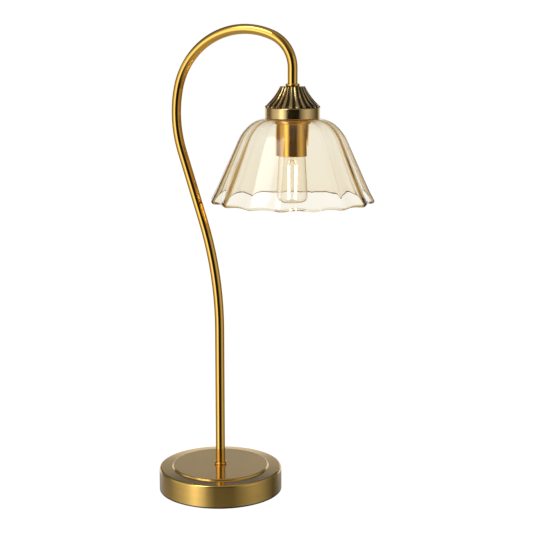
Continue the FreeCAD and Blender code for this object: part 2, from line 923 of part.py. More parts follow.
def make_bulb_stem():
    top = lamp_cap_foot + lamp_neck_depth / 2
    outer = lamp_neck - lamp_wall
    flare = mount_flare / 2
    corners = [
        (0, top, 0),
        (min(flare, outer - stem_gap), top, 0),
        (mount_diameter / 2, top - mount_flare_length, mount_neck_rounding),
        (mount_diameter / 2, lamp_stem_foot, mount_foot_rounding),
        (0, lamp_stem_foot, 0),
    ]
    return turned(corners, head_x)


def on_lamp(across, height):
    # A point in the plane of the two sticks
    turn = math.radians(stick_turn)
    return Vector(head_x + across * math.cos(turn), across * math.sin(turn), height)


def make_bulb_filaments():
    half = stick_spacing / 2
    sticks = []
    for side in (-1, 1):
        foot = on_lamp(side * half * stick_splay, stick_foot_height)
        sticks.append(rod(stick_diameter / 2, foot, on_lamp(side * half, stick_top_height)))
    return Part.makeCompound(sticks)


def make_filament_leads():
    half = stick_spacing / 2
    thin = lead_diameter / 2
    low_half = half * stick_splay
    knee = stick_foot_height - lead_drop
    leads = []
    for side in (-1, 1):
        start = on_lamp(side * lead_spacing / 2, lamp_stem_foot)
        leads.append(rod(thin, start, on_lamp(side * half, stick_top_height)))
    low = rod(thin, on_lamp(-low_half, knee), on_lamp(low_half, knee))
    legs = [rod(thin, on_lamp(side * low_half, knee), on_lamp(side * low_half, stick_foot_height))
            for side in (-1, 1)]
    leads.append(low.fuse(legs).removeSplitter())
    return Part.makeCompound(leads)


pieces = {
    "base_cover": make_base_cover,
    "base_weight": make_base_weight,
    "base_pad": make_base_pad,
    "cord_bush": make_cord_bush,
    "stem_collar": make_stem_collar,
    "stem_nut": make_stem_nut,
    "stem_washer": make_stem_washer,
    "earth_tag": make_earth_tag,
    "earth_wire": make_earth_wire,
    "terminal_block": make_terminal_block,
    "terminal_screws": make_terminal_screws,
    "live_wire": lambda: make_inner_wire(-1),
    "neutral_wire": lambda: make_inner_wire(1),
    "swan_neck_tube": make_swan_neck_tube,
    "neck_collar": make_neck_collar,
    "fluted_cap": make_fluted_cap,
    "shade_gallery": make_shade_gallery,
    "top_gasket": make_top_gasket,
    "shade_glass": make_shade_glass,
    "lower_gasket": make_lower_gasket,
    "shade_ring": make_shade_ring,
    "holder_cup": make_holder_cup,
    "holder_locknut": make_holder_locknut,
    "holder_body": make_holder_body,
    "holder_shell": make_holder_shell,
    "holder_contact": make_holder_contact,
    "bulb_tip": make_bulb_tip,
    "bulb_insulator": make_bulb_insulator,
    "bulb_cap": make_bulb_cap,
    "bulb_envelope": make_bulb_envelope,
    "bulb_stem": make_bulb_stem,
    "bulb_filaments": make_bulb_filaments,
    "filament_leads": make_filament_leads,
}

os.makedirs("parts", exist_ok=True)
for name, make in pieces.items():
    shape = make()
    shape.exportStep("parts/%s.step" % name)
    box = shape.BoundBox
    print("%s: %d solid(s), %.0f mm3, z %.2f to %.2f, valid %s"
          % (name, len(shape.Solids), shape.Volume, box.ZMin, box.ZMax, shape.isValid()))
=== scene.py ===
import math
import bpy
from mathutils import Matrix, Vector


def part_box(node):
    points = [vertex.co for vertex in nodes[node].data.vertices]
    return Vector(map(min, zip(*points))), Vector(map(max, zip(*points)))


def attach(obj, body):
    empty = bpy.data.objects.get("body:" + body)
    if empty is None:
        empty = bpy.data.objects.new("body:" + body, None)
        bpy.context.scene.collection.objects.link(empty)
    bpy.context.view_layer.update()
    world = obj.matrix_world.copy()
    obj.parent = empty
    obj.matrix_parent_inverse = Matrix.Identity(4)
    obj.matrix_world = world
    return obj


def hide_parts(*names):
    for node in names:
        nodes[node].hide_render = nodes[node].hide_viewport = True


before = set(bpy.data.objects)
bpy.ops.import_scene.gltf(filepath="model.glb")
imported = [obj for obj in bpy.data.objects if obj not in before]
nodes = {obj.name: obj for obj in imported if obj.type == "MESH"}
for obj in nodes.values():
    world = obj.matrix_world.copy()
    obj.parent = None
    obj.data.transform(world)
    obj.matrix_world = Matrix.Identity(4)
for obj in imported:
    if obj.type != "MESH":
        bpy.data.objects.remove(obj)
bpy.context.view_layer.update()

scene = bpy.context.scene

glassLow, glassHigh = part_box("shade_glass")
headX = (glassLow.x + glassHigh.x) / 2  # the vertical axis through the shade, cap and lamp


def addMesh(name, points, faces, smooth=True):
    mesh = bpy.data.meshes.new(name)
    mesh.from_pydata(points, [], faces)
    mesh.update()
    piece = bpy.data.objects.new(name, mesh)
    scene.collection.objects.link(piece)
    for polygon in mesh.polygons:
        polygon.use_smooth = smooth
    return piece


def ringFaces(rings, around):
    # quads between closed rings of points; the last ring joins the first
    faces = []
    for ring in range(rings):
        below = (ring + 1) % rings
        for step in range(around):
            beside = (step + 1) % around
            faces.append((ring * around + step, below * around + step,
                          below * around + beside, ring * around + beside))
    return faces


def newMaterial(name):
    material = bpy.data.materials.new(name)
    material.use_nodes = True
    tree = material.node_tree
    return material, tree, tree.nodes["Principled BSDF"]


def place(tree, kind, **values):
    # adds a node; keys are its properties, or its inputs where no property has that name
    node = tree.nodes.new(kind)
    for key, value in values.items():
        if hasattr(node, key):
            setattr(node, key, value)
        else:
            node.inputs[key.replace("_", " ")].default_value = value
    return node


def dress(material, *names):
    for name in names:
        slots = nodes[name].data.materials
        if len(slots):
            for index in range(len(slots)):
                slots[index] = material
        else:
            slots.append(material)


def effectGroup(name, inputs, outputs):
    group = bpy.data.node_groups.new(name, "ShaderNodeTree")
    for title, kind, value in inputs:
        socket = group.interface.new_socket(name=title, in_out="INPUT", socket_type=kind)
        socket.default_value = value
    for title, kind in outputs:
        group.interface.new_socket(name=title, in_out="OUTPUT", socket_type=kind)
    return group, group.nodes.new("NodeGroupInput"), group.nodes.new("NodeGroupOutput")


def useGroup(tree, group, **values):
    node = place(tree, "ShaderNodeGroup")
    node.node_tree = group
    for key, value in values.items():
        node.inputs[key.replace("_", " ")].default_value = value
    return node


def compute(tree, operation, *values):
    # one step of arithmetic on numbers and outputs
    node = place(tree, "ShaderNodeMath", operation=operation)
    for socket, value in zip(node.inputs, values):
        if isinstance(value, (int, float)):
            socket.default_value = value
        else:
            tree.links.new(value, socket)
    return node.outputs["Value"]


def mapRange(tree, value, spans, **properties):
    # carries a value from one span to another
    node = place(tree, "ShaderNodeMapRange", **properties)
    for title, number in spans.items():
        node.inputs[title].default_value = number
    tree.links.new(value, node.inputs["Value"])
    return node.outputs["Result"]


def mixColors(tree, factor, first, second):
    node = place(tree, "ShaderNodeMix", data_type="RGBA")
    for socket, value in (("Factor", factor), ("A", first), ("B", second)):
        if isinstance(value, tuple):
            node.inputs[socket].default_value = value
        elif isinstance(value, (int, float)):
            node.inputs[socket].default_value = (value, value, value, 1)
        else:
            tree.links.new(value, node.inputs[socket])
    return node.outputs["Result"]


cameraSettings = {
    "place": (0.49836, -1.19302, 0.472),
    "pitch": 10.16,  # degrees below level
    "yaw": 20.5,
    "lens": 85.5,
    "sensor": 36.0,
    "clip": (0.05, 60.0),
}


def addCamera(settings):
    data = bpy.data.cameras.new("camera")
    data.lens = settings["lens"]
    data.sensor_width = settings["sensor"]
    data.clip_start, data.clip_end = settings["clip"]
    camera = bpy.data.objects.new("camera", data)
    camera.location = settings["place"]
    camera.rotation_euler = (math.radians(90 - settings["pitch"]), 0, math.radians(settings["yaw"]))
    scene.collection.objects.link(camera)
    scene.camera = camera


glassBounces = 32  # light runs a long way inside the pleated wall

addCamera(cameraSettings)
scene.view_settings.view_transform = "Standard"
scene.cycles.max_bounces = glassBounces
scene.cycles.transmission_bounces = glassBounces
scene.cycles.glossy_bounces = glassBounces

studio = {
    "front": -69.5,  # degrees from +X to the side of the room that the photographer stands on
    "plainLight": 0.75,
    "glassLight": (0.60, 0.43, 0.20, 1),  # what the light that stays inside the glass reads
    "peak": 5.5,  # no panel is brighter
    "nearWall": 2.0,  # faces of glass passed by a ray that is through the near wall
    "farWall": 4.5,  # a ray with more is through both walls and on into further glass
    "trapped": 1.5,  # a ray with more faces and more mirrorings ran round inside one wall
    # from low to high: the height on a unit sphere where the level ends, then degrees round from the
    # front (right is positive) with how bright the room is there
    "levels": [
        ((-0.62, -0.36), [(-180, 0.42), (180, 0.42)]),
        ((-0.333, -0.318), [(-180, 0.30), (-105, 0.22), (-87, 0.36), (-72, 0.55), (-58, 0.88), (-47, 1.18),
                            (-38, 1.02), (-30, 0.78), (-20, 0.36), (-9, 0.13), (24, 0.11), (36, 0.16),
                            (52, 0.25), (66, 0.32), (82, 0.32), (99, 0.19), (118, 0.06), (180, 0.30)]),
        ((0.19, 0.27), [(-180, 1.0), (-142, 0.9), (-132, 0.15), (-118, 0.10), (-105, 0.18), (-88, 0.62),
                        (-68, 0.80), (-58, 1.1), (-53, 1.9), (-43, 1.9), (-37, 1.1), (-29, 0.75),
                        (-25, 0.25), (-21, 0.02), (26, 0.01), (32, 0.20), (46, 0.45), (58, 0.66),
                        (68, 0.66), (84, 0.40), (99, 0.22), (118, 0.08), (130, 0.15), (142, 0.9),
                        (180, 1.0)]),
        ((0.35, 0.43), [(-180, 0.36), (-150, 0.22), (-125, 0.18), (-105, 0.30), (-88, 0.80), (-62, 0.85),
                        (-46, 1.35), (-30, 0.9), (-25, 0.35), (-21, 0.04), (27, 0.03), (33, 0.22),
                        (48, 0.45), (66, 0.62), (82, 0.42), (99, 0.30), (118, 0.14), (150, 0.15),
                        (180, 0.36)]),
        ((0.55, 0.62), [(-180, 0.05), (-120, 0.10), (-75, 0.35), (-60, 0.7), (-54, 1.3), (-30, 1.3),
                        (-22, 0.3), (-10, 0.10), (30, 0.10), (50, 0.35), (90, 0.35), (130, 0.08),
                        (180, 0.05)]),
        ((0.80, 0.92), [(-180, 0.08), (-120, 0.12), (-75, 0.35), (-60, 0.7), (-54, 5.2), (-30, 5.2),
                        (-22, 0.4), (-10, 0.12), (30, 0.12), (50, 0.35), (90, 0.35), (130, 0.12),
                        (180, 0.08)]),
        (None, [(-180, 0.30), (180, 0.30)]),
    ],
}


def roomLevel(tree, around, stops, peak):
    # how bright the room is round one level, as a share of the brightest panel
    ramp = place(tree, "ShaderNodeValToRGB")
    elements = ramp.color_ramp.elements
    for index, (angle, level) in enumerate(stops):
        share = 0.5 + angle / 360
        if 0 < index < len(stops) - 1:
            stop = elements.new(share)
        else:
            stop = elements[0 if index == 0 else -1]
            stop.position = share
        stop.color = (level / peak, level / peak, level / peak, 1)
    tree.links.new(around, ramp.inputs["Fac"])
    return ramp.outputs["Color"]


def rayKinds(tree, rays):
    # whether the camera sees the light, through glass or not, and whether something mirrors it
    seen = compute(tree, "MAXIMUM", rays.outputs["Is Camera Ray"], rays.outputs["Is Transmission Ray"])
    mirrored = compute(tree, "GREATER_THAN", rays.outputs["Glossy Depth"], 0.5)
    return seen, mirrored


def addStudioWorld(settings):
    # the room that the metal mirrors: soft panels left and right, a dark gap in front, dim walls behind
    world = bpy.data.worlds.new("studio")
    world.use_nodes = True
    world.cycles.sampling_method = "NONE"  # so that each ray reads the walls by its own kind
    scene.world = world
    tree = world.node_tree
    link = tree.links.new
    tree.nodes.clear()
    direction = place(tree, "ShaderNodeTexCoord")
    turn = place(tree, "ShaderNodeMapping", vector_type="POINT")
    turn.inputs["Rotation"].default_value = (0, 0, -math.radians(settings["front"]))
    around = place(tree, "ShaderNodeTexGradient", gradient_type="RADIAL")
    parts = place(tree, "ShaderNodeSeparateXYZ")
    link(direction.outputs["Generated"], turn.inputs["Vector"])
    link(turn.outputs["Vector"], around.inputs["Vector"])
    link(direction.outputs["Generated"], parts.inputs["Vector"])
    peak = settings["peak"]
    room, span = None, None
    for end, stops in settings["levels"]:
        above = roomLevel(tree, around.outputs["Fac"], stops, peak)
        if room is None:
            room = above
        else:
            step = mapRange(tree, parts.outputs["Z"], {"From Min": span[0], "From Max": span[1]},
                            interpolation_type="SMOOTHSTEP")
            room = mixColors(tree, step, room, above)
        span = end
    bright = place(tree, "ShaderNodeVectorMath", operation="SCALE", Scale=peak)
    link(room, bright.inputs["Vector"])
    rays = place(tree, "ShaderNodeLightPath")
    seen, mirrored = rayKinds(tree, rays)
    glassDepth = rays.outputs["Transmission Depth"]
    nearWall = compute(tree, "COMPARE", glassDepth, settings["nearWall"])
    farWall = compute(tree, "GREATER_THAN", glassDepth, settings["farWall"])
    trapped = compute(tree, "MULTIPLY", compute(tree, "GREATER_THAN", glassDepth, settings["trapped"]),
                      compute(tree, "GREATER_THAN", rays.outputs["Glossy Depth"], settings["trapped"]))
    inGlass = compute(tree, "MAXIMUM", compute(tree, "MAXIMUM", nearWall, farWall), trapped)
    plain = mixColors(tree, seen, settings["plainLight"], 1.0)
    mirror = mixColors(tree, inGlass, bright.outputs["Vector"], settings["glassLight"])
    shown = mixColors(tree, mirrored, plain, mirror)
    background = place(tree, "ShaderNodeBackground")
    output = place(tree, "ShaderNodeOutputWorld")
    link(shown, background.inputs["Color"])
    link(background.outputs["Background"], output.inputs["Surface"])


lamps = {
    "leftPanel": {"angle": -55, "distance": 2.2, "height": 1.3, "size": (0.9, 1.6), "power": 16},
    "rightPanel": {"angle": 62, "distance": 2.4, "height": 1.0, "size": (0.7, 1.6), "power": 8},
    "topPanel": {"angle": 10, "distance": 0.3, "height": 2.6, "size": (1.2, 1.2), "power": 9},
}
lampTarget = (0.03, 0, 0.24)  # about the middle of the object


def addLamps(settings, front):
    for name, lamp in settings.items():
        data = bpy.data.lights.new(name, "AREA")
        data.shape = "RECTANGLE"
        data.size, data.size_y = lamp["size"]
        data.energy = lamp["power"]
        piece = bpy.data.objects.new(name, data)
        angle = math.radians(front + lamp["angle"])
        distance = lamp["distance"]
        piece.location = (distance * math.cos(angle), distance * math.sin(angle), lamp["height"])
        away = piece.location - Vector(lampTarget)
        piece.rotation_euler = away.to_track_quat("Z", "Y").to_euler()
        piece.visible_glossy = False  # the room above holds the panels that the metal mirrors
        piece.visible_transmission = False
        scene.collection.objects.link(piece)


floorSettings = {
    "radius": 9.0,
    "around": 64,
    "color": (0.85, 0.85, 0.85, 1),
    "roughness": 0.9,
    "white": 1.10,
    "shadow": 0.12,  # the share of its own shading that the white floor keeps
}


def addFloor(settings):
    ring = []
    for step in range(settings["around"]):
        angle = 2 * math.pi * step / settings["around"]
        ring.append((settings["radius"] * math.cos(angle), settings["radius"] * math.sin(angle), 0))
    floor = addMesh("floor", ring, [tuple(range(settings["around"]))], smooth=False)
    material, tree, surface = newMaterial("paleFloor")
    link = tree.links.new
    surface.inputs["Base Color"].default_value = settings["color"]
    surface.inputs["Roughness"].default_value = settings["roughness"]
    surface.inputs["Specular IOR Level"].default_value = 0.0
    glow = place(tree, "ShaderNodeEmission", Strength=settings["white"])
    seen, mirrored = rayKinds(tree, place(tree, "ShaderNodeLightPath"))
    share = compute(tree, "MULTIPLY", seen, 1 - settings["shadow"])
    lit = place(tree, "ShaderNodeMixShader")
    clear = place(tree, "ShaderNodeBsdfTransparent")
    shown = place(tree, "ShaderNodeMixShader")  # a mirrored ray reads the room, also where glass bends it
    link(share, lit.inputs["Fac"])
    link(surface.outputs["BSDF"], lit.inputs[1])
    link(glow.outputs["Emission"], lit.inputs[2])
    link(mirrored, shown.inputs["Fac"])
    link(lit.outputs["Shader"], shown.inputs[1])
    link(clear.outputs["BSDF"], shown.inputs[2])
    link(shown.outputs["Shader"], tree.nodes["Material Output"].inputs["Surface"])
    floor.data.materials.append(material)
    floor.visible_glossy = False


addStudioWorld(studio)
addLamps(lamps, studio["front"])
addFloor(floorSettings)
print("studio ready")


finish = {
    "broadScale": 0.16,  # the wide streaks, against the fine ones
    "broadShare": 0.4,
    "cloudSpan": {"From Min": 0.35, "From Max": 0.75},
    "ringDrift": 0.03,  # how far the lines round an axis wander off it
    "brushDepth": 0.0001,
    "lacquerRoughness": 0.12,
    "grainDepth": 0.0002,
    "grainSpread": 0.06,
    "rippleDepth": 0.0005,
    "rippleSpread": 0.5,
}


def makeBrushing():
    # fine lines in one direction: streaked tone, roughness and relief
    group, given, result = effectGroup("brushing", [
        ("Color", "NodeSocketColor", (0.8, 0.5, 0.1, 1)),
        ("Lines", "NodeSocketVector", (1, 1, 1)),
        ("Tone Depth", "NodeSocketFloat", 0.1),
        ("Roughness", "NodeSocketFloat", 0.25),
        ("Roughness Spread", "NodeSocketFloat", 0.08),
    ], [("Color", "NodeSocketColor"), ("Roughness", "NodeSocketFloat"), ("Relief", "NodeSocketFloat")])
    link = group.links.new
    fine = place(group, "ShaderNodeTexNoise", Scale=1.0, Detail=4.0, Roughness=0.65)
    broad = place(group, "ShaderNodeTexNoise", Scale=finish["broadScale"], Detail=2.0, Roughness=0.5)
    link(given.outputs["Lines"], fine.inputs["Vector"])
    link(given.outputs["Lines"], broad.inputs["Vector"])
    both = place(group, "ShaderNodeMix", data_type="FLOAT")
    both.inputs["Factor"].default_value = finish["broadShare"]
    link(fine.outputs["Fac"], both.inputs["A"])
    link(broad.outputs["Fac"], both.inputs["B"])
    swing = compute(group, "MULTIPLY_ADD", both.outputs["Result"], 2.0, -1.0)
    tone = compute(group, "MULTIPLY_ADD", swing, given.outputs["Tone Depth"], 1.0)
    rough = compute(group, "MULTIPLY_ADD", swing, given.outputs["Roughness Spread"],
                    given.outputs["Roughness"])
    toned = place(group, "ShaderNodeVectorMath", operation="SCALE")
    link(given.outputs["Color"], toned.inputs["Vector"])
    link(tone, toned.inputs["Scale"])
    link(toned.outputs["Vector"], result.inputs["Color"])
    link(rough, result.inputs["Roughness"])
    link(both.outputs["Result"], result.inputs["Relief"])
    return group


def makeTarnish():
    # soft cloudy darkening, added to a mask of the material's own
    group, given, result = effectGroup("tarnish", [
        ("Color", "NodeSocketColor", (0.8, 0.5, 0.1, 1)),
        ("Dark Color", "NodeSocketColor", (0.3, 0.18, 0.06, 1)),
        ("Vector", "NodeSocketVector", (0, 0, 0)),
        ("Scale", "NodeSocketFloat", 30.0),
        ("Amount", "NodeSocketFloat", 0.2),
        ("Mask", "NodeSocketFloat", 0.0),
    ], [("Color", "NodeSocketColor")])
    link = group.links.new
    cloud = place(group, "ShaderNodeTexNoise", Detail=5.0, Roughness=0.6)
    link(given.outputs["Vector"], cloud.inputs["Vector"])
    link(given.outputs["Scale"], cloud.inputs["Scale"])
    spread = mapRange(group, cloud.outputs["Fac"], finish["cloudSpan"])
    total = place(group, "ShaderNodeMath", operation="ADD", use_clamp=True)
    link(compute(group, "MULTIPLY", spread, given.outputs["Amount"]), total.inputs[0])
    link(given.outputs["Mask"], total.inputs[1])
    link(mixColors(group, total.outputs["Value"], given.outputs["Color"], given.outputs["Dark Color"]),
         result.inputs["Color"])
    return group


brushing = makeBrushing()
tarnish = makeTarnish()


def reachFromAxis(tree, position):
    flat = place(tree, "ShaderNodeVectorMath", operation="MULTIPLY")
    flat.inputs[1].default_value = (1, 1, 0)
    reach = place(tree, "ShaderNodeVectorMath", operation="LENGTH")
    tree.links.new(position, flat.inputs[0])
    tree.links.new(flat.outputs["Vector"], reach.inputs[0])
    return reach.outputs["Value"]


def splitParts(tree, position):
    parts = place(tree, "ShaderNodeSeparateXYZ")
    tree.links.new(position, parts.inputs["Vector"])
    return parts.outputs


def ringLines(tree, position, fine):
    # brushing that runs round the vertical axis, from distance and height alone
    parts = splitParts(tree, position)
    gather = place(tree, "ShaderNodeCombineXYZ")
    for title, value, scale in (("X", reachFromAxis(tree, position), fine),
                                ("Y", parts["X"], fine * finish["ringDrift"]),
                                ("Z", parts["Z"], fine)):
        tree.links.new(compute(tree, "MULTIPLY", value, scale), gather.inputs[title])
    return gather.outputs["Vector"]


def fluteValleys(tree, position, flutes):
    # dark finish that stays in the valleys between the ribs
    parts = splitParts(tree, position)
    angle = compute(tree, "ARCTAN2", parts["Y"], parts["X"])
    wave = compute(tree, "COSINE", compute(tree, "MULTIPLY", angle, flutes["count"]))
    spans = {"From Min": flutes["start"], "From Max": flutes["full"], "To Max": flutes["dark"]}
    return mapRange(tree, wave, spans)


def edgeFall(tree, position, tilt):
    # a flat ring that falls a little towards its edge
    drop = math.tan(math.radians(tilt["angle"])) * (tilt["to"] - tilt["from"])
    spans = {"From Min": tilt["from"], "From Max": tilt["to"], "To Min": drop, "To Max": 0.0}
    fall = mapRange(tree, reachFromAxis(tree, position), spans)
    slope = place(tree, "ShaderNodeBump", Strength=1.0, Distance=1.0)
    tree.links.new(fall, slope.inputs["Height"])
    return slope.outputs["Normal"]


def metal(name, look):
    # lacquered brass or plated steel; lines run along the axis that is stretched least
    material, tree, surface = newMaterial(name)
    link = tree.links.new
    where = place(tree, "ShaderNodeTexCoord")
    centre = place(tree, "ShaderNodeMapping", vector_type="POINT")
    centre.inputs["Location"].default_value = (-look.get("axisX", 0.0), 0, 0)
    link(where.outputs["Object"], centre.inputs["Vector"])
    position = centre.outputs["Vector"]
    if look["lines"] == "rings":
        lines = ringLines(tree, position, look["fine"])
    else:
        stretch = place(tree, "ShaderNodeMapping", vector_type="POINT")
        stretch.inputs["Scale"].default_value = look["lines"]
        link(position, stretch.inputs["Vector"])
        lines = stretch.outputs["Vector"]
    age = useGroup(tree, tarnish, Scale=look["cloudScale"], Amount=look["cloud"], Color=(*look["color"], 1),
                   Dark_Color=(*look["dark"], 1))
    link(position, age.inputs["Vector"])
    if "flutes" in look:
        link(fluteValleys(tree, position, look["flutes"]), age.inputs["Mask"])
    brush = useGroup(tree, brushing, Tone_Depth=look["tone"], Roughness=look["roughness"],
                     Roughness_Spread=look["spread"])
    link(age.outputs["Color"], brush.inputs["Color"])
    link(lines, brush.inputs["Lines"])
    bump = place(tree, "ShaderNodeBump", Strength=look["relief"], Distance=finish["brushDepth"])
    link(brush.outputs["Relief"], bump.inputs["Height"])
    shown = brush.outputs["Color"]
    if "foot" in look:  # painted shade: the cover's lowest edge is painted near black, for the dark line of the black pad and the shade under it
        abovePaintedShade = compute(tree, "GREATER_THAN", splitParts(tree, position)["Z"], look["foot"]["height"])
        shown = mixColors(tree, abovePaintedShade, look["foot"]["color"], shown)
    if "tilt" in look:
        link(edgeFall(tree, position, look["tilt"]), bump.inputs["Normal"])
    link(shown, surface.inputs["Base Color"])
    link(brush.outputs["Roughness"], surface.inputs["Roughness"])
    link(bump.outputs["Normal"], surface.inputs["Normal"])
    surface.inputs["Metallic"].default_value = look.get("metallic", 1.0)
    surface.inputs["Coat Weight"].default_value = look.get("lacquer", 0.0)
    surface.inputs["Coat Roughness"].default_value = finish["lacquerRoughness"]
    return material


def moulded(name, look):
    # plastic, rubber or ceramic: a grained surface with a faintly uneven tone
    material, tree, surface = newMaterial(name)
    link = tree.links.new
    where = place(tree, "ShaderNodeTexCoord")
    age = useGroup(tree, tarnish, Scale=look["cloudScale"], Amount=look["cloud"], Color=(*look["color"], 1),
                   Dark_Color=(*look["dark"], 1))
    grain = place(tree, "ShaderNodeTexNoise", Scale=look["grain"], Detail=3.0, Roughness=0.6)
    spread = finish["grainSpread"]
    spans = {"To Min": look["roughness"] - spread, "To Max": look["roughness"] + spread}
    rough = mapRange(tree, grain.outputs["Fac"], spans)
    bump = place(tree, "ShaderNodeBump", Strength=look["relief"], Distance=finish["grainDepth"])
    link(where.outputs["Object"], age.inputs["Vector"])
    link(where.outputs["Object"], grain.inputs["Vector"])
    link(grain.outputs["Fac"], bump.inputs["Height"])
    link(age.outputs["Color"], surface.inputs["Base Color"])
    link(rough, surface.inputs["Roughness"])
    link(bump.outputs["Normal"], surface.inputs["Normal"])
    return material


metalLooks = {
    "baseBrass": {"color": (0.81, 0.50, 0.10), "dark": (0.40, 0.25, 0.06), "lines": "rings", "fine": 1500,
                  "tone": 0.10, "roughness": 0.13, "spread": 0.04, "relief": 0.10, "cloud": 0.25,
                  "cloudScale": 30, "metallic": 0.95, "lacquer": 1.0,
                  # painted shade: below this height the brass cover is painted near black
                  "foot": {"height": 0.0024, "color": (0.01, 0.01, 0.01, 1)},
                  "tilt": {"from": 0.0518, "to": 0.0626, "angle": 4.0}},
    "neckBrass": {"color": (0.88, 0.52, 0.11), "dark": (0.45, 0.24, 0.05), "lines": (900, 900, 60),
                  "tone": 0.05, "roughness": 0.05, "spread": 0.015, "relief": 0.015, "cloud": 0.15,
                  "cloudScale": 22},
    "capBrass": {"color": (0.84, 0.60, 0.26), "dark": (0.06, 0.040, 0.018), "lines": (250, 250, 60),
                 "tone": 0.05, "roughness": 0.20, "spread": 0.03, "relief": 0.03, "cloud": 0.25,
                 "cloudScale": 60, "axisX": headX,
                 "flutes": {"count": 24, "start": 0.70, "full": -0.45, "dark": 0.95}},
    "galleryBrass": {"color": (0.78, 0.55, 0.24), "dark": (0.42, 0.28, 0.11), "lines": "rings",
                     "fine": 1800, "tone": 0.10, "roughness": 0.15, "spread": 0.04, "relief": 0.08,
                     "cloud": 0.2, "cloudScale": 50, "axisX": headX},
    "cupBrass": {"color": (0.97, 0.56, 0.13), "dark": (0.7, 0.36, 0.06), "lines": (500, 500, 30),
                 "tone": 0.05, "roughness": 0.08, "spread": 0.03, "relief": 0.03, "cloud": 0.2,
                 "cloudScale": 40, "axisX": headX},
    "platedSteel": {"color": (0.62, 0.62, 0.60), "dark": (0.38, 0.37, 0.34), "lines": (600, 600, 600),
                    "tone": 0.08, "roughness": 0.32, "spread": 0.08, "relief": 0.1, "cloud": 0.4,
                    "cloudScale": 120},
    "castIron": {"color": (0.20, 0.20, 0.21), "dark": (0.10, 0.08, 0.07), "lines": (250, 250, 250),
                 "tone": 0.25, "roughness": 0.62, "spread": 0.12, "relief": 0.6, "cloud": 0.6,
                 "cloudScale": 60},
    "contactBrass": {"color": (0.82, 0.62, 0.26), "dark": (0.5, 0.35, 0.12), "lines": (800, 800, 80),
                     "tone": 0.08, "roughness": 0.22, "spread": 0.05, "relief": 0.05, "cloud": 0.3,
                     "cloudScale": 150, "axisX": headX},
    "nickel": {"color": (0.68, 0.66, 0.62), "dark": (0.42, 0.40, 0.36), "lines": "rings", "fine": 2500,
               "tone": 0.06, "roughness": 0.18, "spread": 0.05, "relief": 0.06, "cloud": 0.3,
               "cloudScale": 150, "axisX": headX},
    "leadWire": {"color": (0.80, 0.25, 0.08), "dark": (0.5, 0.12, 0.04), "lines": (900, 900, 900),
                 "tone": 0.1, "roughness": 0.3, "spread": 0.05, "relief": 0.05, "cloud": 0.3,
                 "cloudScale": 300},
}
metals = {name: metal(name, look) for name, look in metalLooks.items()}

mouldedLooks = {
    "padRubber": {"color": (0.02, 0.02, 0.02), "dark": (0.035, 0.033, 0.03), "roughness": 0.75,
                  "grain": 1800, "relief": 0.3, "cloud": 0.6, "cloudScale": 80},
    "bushPlastic": {"color": (0.02, 0.02, 0.022), "dark": (0.04, 0.04, 0.04), "roughness": 0.42,
                    "grain": 1500, "relief": 0.15, "cloud": 0.4, "cloudScale": 200},
    "brownInsulation": {"color": (0.14, 0.055, 0.025), "dark": (0.10, 0.04, 0.02), "roughness": 0.4,
                        "grain": 900, "relief": 0.1, "cloud": 0.4, "cloudScale": 60},
    "blueInsulation": {"color": (0.02, 0.10, 0.42), "dark": (0.015, 0.07, 0.30), "roughness": 0.4,
                       "grain": 900, "relief": 0.1, "cloud": 0.4, "cloudScale": 60},
    "greenInsulation": {"color": (0.12, 0.38, 0.03), "dark": (0.62, 0.55, 0.03), "roughness": 0.4,
                        "grain": 900, "relief": 0.1, "cloud": 1.0, "cloudScale": 160},
    "blockPlastic": {"color": (0.78, 0.78, 0.74), "dark": (0.66, 0.65, 0.60), "roughness": 0.34,
                     "grain": 1200, "relief": 0.1, "cloud": 0.4, "cloudScale": 120},
    "gasketRubber": {"color": (0.62, 0.60, 0.55), "dark": (0.50, 0.48, 0.43), "roughness": 0.55,
                     "grain": 1500, "relief": 0.1, "cloud": 0.4, "cloudScale": 150},
    "holderPlastic": {"color": (0.72, 0.70, 0.65), "dark": (0.60, 0.58, 0.52), "roughness": 0.38,
                      "grain": 1200, "relief": 0.12, "cloud": 0.4, "cloudScale": 120},
    "blackInsulator": {"color": (0.012, 0.012, 0.014), "dark": (0.03, 0.03, 0.03), "roughness": 0.18,
                       "grain": 900, "relief": 0.05, "cloud": 0.4, "cloudScale": 200},
}
mouldings = {name: moulded(name, look) for name, look in mouldedLooks.items()}

dress(metals["baseBrass"], "base_cover")
dress(metals["neckBrass"], "swan_neck_tube", "stem_collar", "neck_collar")
dress(metals["capBrass"], "fluted_cap")
dress(metals["galleryBrass"], "shade_gallery")
dress(metals["cupBrass"], "holder_cup", "shade_ring")
dress(metals["platedSteel"], "stem_nut", "stem_washer", "earth_tag", "terminal_screws", "holder_locknut")
dress(metals["castIron"], "base_weight")
dress(metals["contactBrass"], "holder_shell", "holder_contact")
dress(metals["nickel"], "bulb_tip", "bulb_cap")
dress(metals["leadWire"], "filament_leads")
dress(mouldings["padRubber"], "base_pad")
dress(mouldings["bushPlastic"], "cord_bush")
dress(mouldings["brownInsulation"], "live_wire")
dress(mouldings["blueInsulation"], "neutral_wire")
dress(mouldings["greenInsulation"], "earth_wire")
dress(mouldings["blockPlastic"], "terminal_block")
dress(mouldings["gasketRubber"], "top_gasket", "lower_gasket")
dress(mouldings["holderPlastic"], "holder_body")
dress(mouldings["blackInsulator"], "bulb_insulator")
print("metal and plastic dressed")


